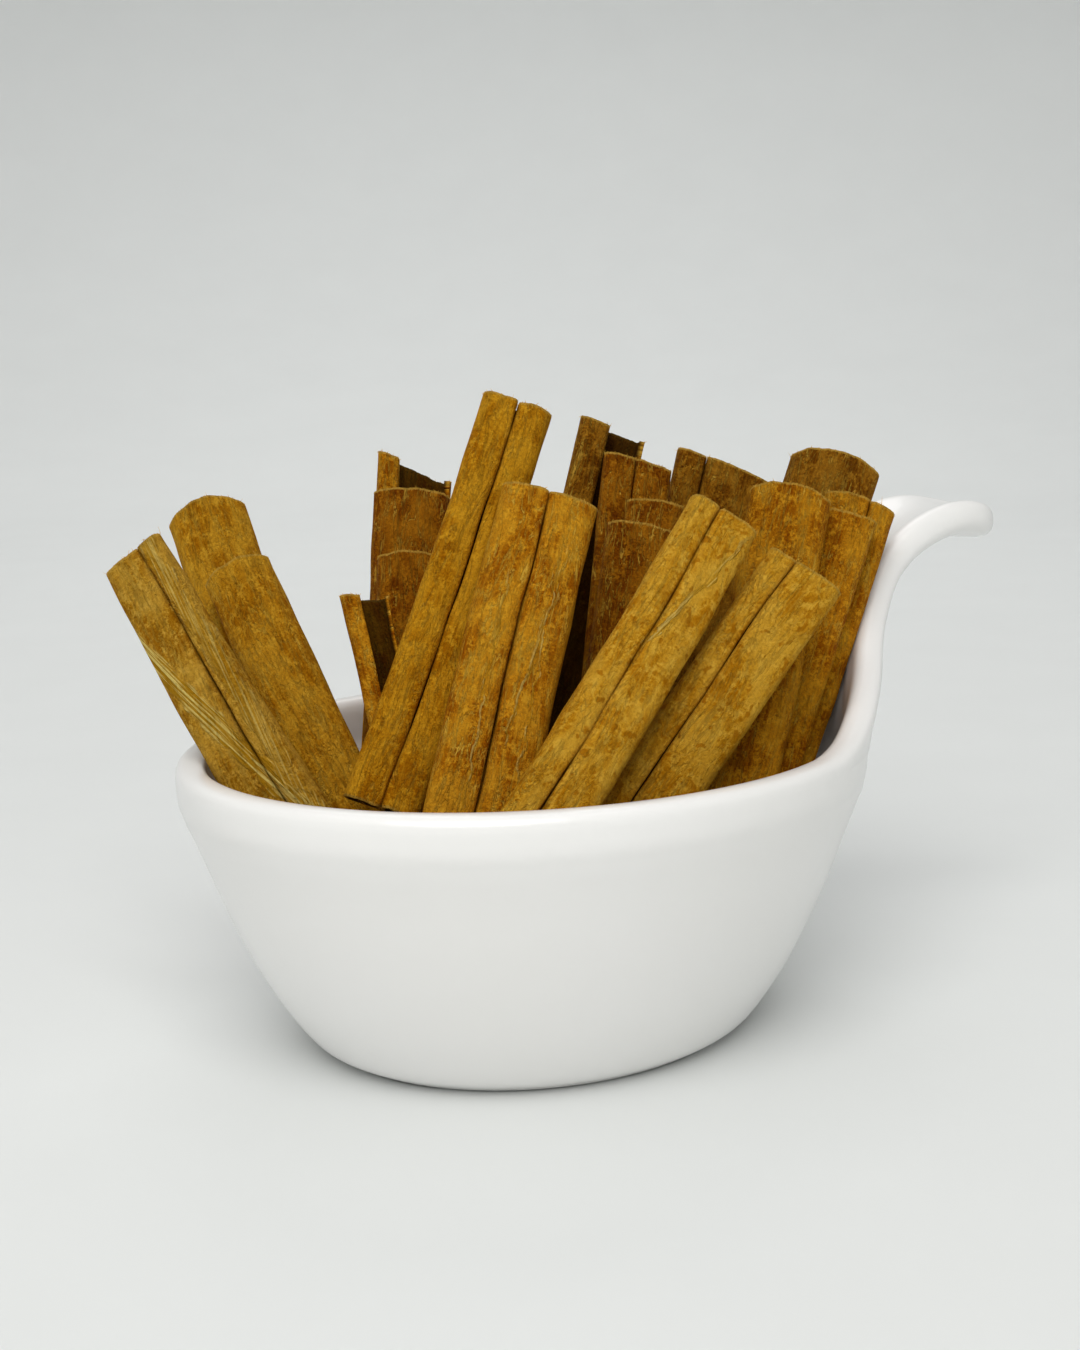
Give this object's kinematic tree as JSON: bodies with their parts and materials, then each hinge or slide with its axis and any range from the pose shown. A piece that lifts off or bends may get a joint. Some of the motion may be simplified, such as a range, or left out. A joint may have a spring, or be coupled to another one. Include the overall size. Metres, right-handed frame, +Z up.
{
  "type": "bowl of cinnamon sticks",
  "caption": "White glazed oval bowl with a curled lug, holding upright leaning cassia cinnamon sticks rolled in from both edges.",
  "frame": {"origin": "centre of the bowl's flat foot, on the surface it stands on", "axes": "+X along the bowl's long axis towards the lug, +Z up"},
  "size_m": [0.1251, 0.0794, 0.0824],
  "materials": {
    "glaze": "gloss white glaze",
    "bark": "matt fibrous bark",
    "pale_bark": "matt pale scraped bark",
    "dark_bark": "matt dark bark"
  },
  "bodies": {
    "root": {"bowl": "glaze", "stick_01": "pale_bark", "stick_02": "bark", "stick_03": "bark", "stick_04": "bark", "stick_05": "bark", "stick_06": "bark", "stick_07": "bark", "stick_08": "pale_bark", "stick_09": "bark", "stick_10": "pale_bark", "stick_11": "pale_bark", "stick_12": "dark_bark", "stick_13": "bark", "stick_14": "bark", "stick_15": "bark", "stick_16": "dark_bark", "stick_17": "bark", "stick_18": "bark", "stick_19": "dark_bark", "stick_20": "bark"}
  },
  "joints": []
}
